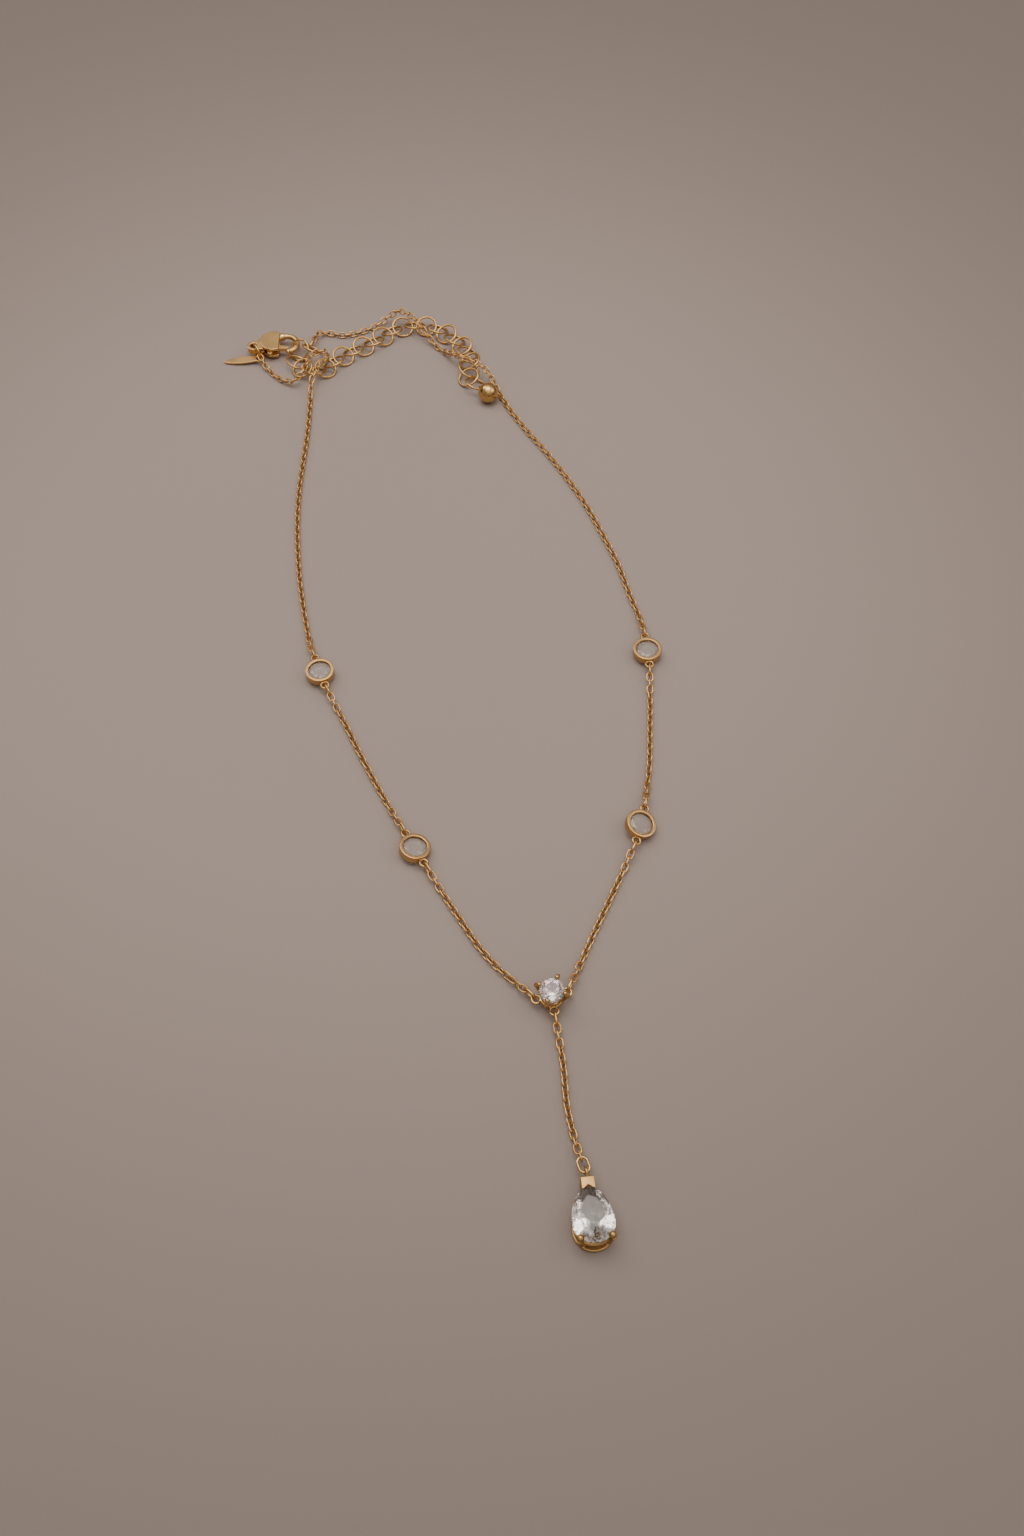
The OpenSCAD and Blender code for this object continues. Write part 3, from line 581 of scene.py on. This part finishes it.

# The stones.
# Clear crystal, cut in flat facets: four small shallow rounds, a brilliant in the centre and a pear at the end of
# the drop.
# The brilliant's faint fire and the sparkle of both are painted: bright, dark and coloured cells in their colour
# stand in for facet glints and shade.
STONE_ROUGHNESS = 0.02
SPARKLING_CLEARNESS = 0.97
FLAT_FACET_DEG = 1.0
BEZEL_STONE_TIERS = (  # radius and height in millimetres, corners, turn in degrees
    (1.25, 0.42, 8, 22.5), (1.65, 0.28, 8, 0), (1.99, 0.1, 32, 0), (1.99, -0.1, 32, 0),
    (1.66, -0.34, 8, 0), (1.2, -0.6, 8, 22.5))
CENTRE_GIRDLE_Z_MM = 3.3
CENTRE_STONE_TIERS = (
    (1.1, 0.62, 8, 22.5), (1.55, 0.42, 8, 0), (1.85, 0.2, 16, 11.25), (1.99, 0.06, 32, 0),
    (1.99, -0.06, 32, 0), (1.62, -0.42, 16, 11.25), (1.15, -0.86, 8, 0), (0.62, -1.3, 8, 22.5),
    (0.05, -1.7, 8, 0))
PEAR_AT_MM = (5.0, -32.3, 2.35)
PEAR_TURN_DEG = 6.0
PEAR_LEAN_DEG = -12.0
PEAR_ROUND_MM = 3
PEAR_ROUND_Y_MM = -1.5
PEAR_SIDE_MM = 7.5
PEAR_TIP_Y_MM = 4.5
PEAR_TIERS = (  # share of the outline, height and shift in millimetres, every so many corners, first corner
    (0.58, 0.85, -0.1, 3, 0), (0.8, 0.56, 0, 2, 1), (0.92, 0.28, 0, 2, 0), (0.995, 0.08, 0, 1, 0),
    (0.995, -0.08, 0, 1, 0), (0.82, -0.6, -0.12, 2, 1), (0.58, -1.25, -0.3, 2, 0),
    (0.32, -1.85, -0.6, 3, 1), (0.06, -2.3, -0.9, 4, 0))
PEAR_PAINTED_GLINTS = (  # share of the cells below, painted colour from there on: glints, shade and fire
    (0.0, (0.70, 0.66, 0.64)), (0.3, (0.82, 0.78, 0.76)), (0.5, (0.58, 0.55, 0.54)),
    (0.68, (0.74, 0.70, 0.68)), (0.84, (1.0, 0.98, 0.96)), (0.91, (1.0, 0.72, 0.50)),
    (0.94, (0.72, 0.69, 0.68)), (0.97, (0.60, 0.85, 0.92)))
# Painted fire and glints of the brilliant: red, green and cyan cells, bright painted glints and dark painted shade.
BRILLIANT_PAINTED_FIRE = (
    (0.0, (0.46, 0.41, 0.43)), (0.35, (0.62, 0.57, 0.59)), (0.52, (0.36, 0.32, 0.34)),
    (0.66, (1.0, 0.28, 0.15)), (0.72, (0.56, 0.52, 0.55)), (0.80, (0.66, 0.85, 0.22)),
    (0.84, (0.80, 0.75, 0.77)), (0.96, (0.25, 0.70, 0.80)))


def clear_stone(name, tint, bend, clearness):
    """A crystal of one tint, how much it bends light and how much of it passes."""
    material, tree, shader = plain_material(name)
    shader.inputs["Base Color"].default_value = (*tint, 1.0)
    shader.inputs["Roughness"].default_value = STONE_ROUGHNESS
    shader.inputs["IOR"].default_value = bend
    shader.inputs["Transmission Weight"].default_value = clearness
    return material, tree, shader


def painted_facet_flash():
    """Node group: small cells over a stone, each with a value of its own, for painted facet flashes."""
    group = bpy.data.node_groups.new("painted_facet_flash", "ShaderNodeTree")
    group.interface.new_socket("Scale", in_out="INPUT", socket_type="NodeSocketFloat")
    group.interface.new_socket("Flash", in_out="OUTPUT", socket_type="NodeSocketFloat")
    nodes, links = group.nodes, group.links
    inside, out = nodes.new("NodeGroupInput"), nodes.new("NodeGroupOutput")
    where = nodes.new("ShaderNodeTexCoord")
    cells = nodes.new("ShaderNodeTexVoronoi")
    one_value = nodes.new("ShaderNodeSeparateColor")
    links.new(where.outputs["Object"], cells.inputs["Vector"])
    links.new(inside.outputs["Scale"], cells.inputs["Scale"])
    links.new(cells.outputs["Color"], one_value.inputs["Color"])
    links.new(one_value.outputs["Red"], out.inputs["Flash"])
    return group


painted_flash_cells = painted_facet_flash()


def painted_sparkle_stone(name, bend, scale, painted_glints):
    """A clear stone with painted light in its colour: cells of painted shade, painted glints and faint painted
    fire.
    """
    material, tree, shader = clear_stone(name, (1.0, 1.0, 1.0), bend, SPARKLING_CLEARNESS)
    cells = tree.nodes.new("ShaderNodeGroup")
    cells.node_tree = painted_flash_cells
    cells.inputs["Scale"].default_value = scale
    flash = tree.nodes.new("ShaderNodeValToRGB")
    flash.color_ramp.interpolation = "CONSTANT"
    flash.color_ramp.elements[0].color = (*painted_glints[0][1], 1)
    flash.color_ramp.elements[1].position = painted_glints[1][0]
    flash.color_ramp.elements[1].color = (*painted_glints[1][1], 1)
    for position, tint in painted_glints[2:]:
        flash.color_ramp.elements.new(position).color = (*tint, 1)
    tree.links.new(cells.outputs["Flash"], flash.inputs["Fac"])
    tree.links.new(flash.outputs["Color"], shader.inputs["Base Color"])
    return material


def tier_corners(radius, height, count, turn):
    """Corners of one ring of facets round a stone."""
    angles = [math.radians(turn + 360 * k / count) for k in range(count)]
    return [(radius * math.cos(a), radius * math.sin(a), height) for a in angles]


def pear_outline(steps=7):
    """Half a circle at the round end, then two wide arcs to the tip."""
    inset = PEAR_SIDE_MM - PEAR_ROUND_MM
    top = math.degrees(math.acos(inset / PEAR_SIDE_MM))
    right = []
    for t in range(steps):
        a = math.radians(-90 + 90 * t / steps)
        right.append((PEAR_ROUND_MM * math.cos(a), PEAR_ROUND_MM * math.sin(a) + PEAR_ROUND_Y_MM))
    for t in range(steps):
        a = math.radians(top * t / steps)
        right.append((PEAR_SIDE_MM * math.cos(a) - inset, PEAR_SIDE_MM * math.sin(a) + PEAR_ROUND_Y_MM))
    return right + [(0.0, PEAR_TIP_Y_MM)] + [(-x, y) for x, y in right[:0:-1]]


def cut_stone(name, node, points, place, material):
    """A stone whose flat facets are the outside of the given points."""
    work = bmesh.new()
    for point in points:
        work.verts.new(place @ (Vector(point) * MM))
    found = bmesh.ops.convex_hull(work, input=work.verts)
    inner = {g for g in found["geom_interior"] + found["geom_unused"] if isinstance(g, bmesh.types.BMVert)}
    bmesh.ops.delete(work, geom=list(inner), context="VERTS")
    bmesh.ops.dissolve_limit(work, angle_limit=math.radians(FLAT_FACET_DEG), verts=work.verts, edges=work.edges)
    mesh = bpy.data.meshes.new(name)
    work.to_mesh(mesh)
    work.free()
    mesh.materials.append(material)
    piece = bpy.data.objects.new(name, mesh)
    bpy.context.scene.collection.objects.link(piece)
    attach(piece, "necklace")
    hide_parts(node)


pane_crystal = clear_stone("clear_crystal_shallow", tint=(0.83, 0.75, 0.70), bend=1.55, clearness=0.76)[0]
# The pear and the brilliant carry painted glints, painted shade and painted fire in their colour.
pear_crystal = painted_sparkle_stone("clear_crystal_pear", bend=1.62, scale=1500.0, painted_glints=PEAR_PAINTED_GLINTS)
fire_crystal = painted_sparkle_stone("clear_crystal_brilliant", bend=1.9, scale=2300.0, painted_glints=BRILLIANT_PAINTED_FIRE)

points = [corner for tier in BEZEL_STONE_TIERS for corner in tier_corners(*tier)]
for key in BEZELS:
    cut_stone("stone_" + key + "_cut", "stone_" + key, points, bezel_place(key), pane_crystal)

points = [corner for tier in CENTRE_STONE_TIERS for corner in tier_corners(*tier)]
centre_place = Matrix.Translation((0, 0, CENTRE_GIRDLE_Z_MM * MM))
cut_stone("centre_stone_cut", "centre_stone", points, centre_place, fire_crystal)

outline = pear_outline()
points = [(x * share, y * share + shift, height) for share, height, shift, every, first in PEAR_TIERS
          for x, y in outline[first::every]]
pear_place = (Matrix.Translation(Vector(PEAR_AT_MM) * MM) @ Matrix.Rotation(math.radians(PEAR_TURN_DEG), 4, "Z")
              @ Matrix.Rotation(math.radians(PEAR_LEAN_DEG), 4, "X"))
cut_stone("pear_stone_cut", "pear_stone", points, pear_place, pear_crystal)
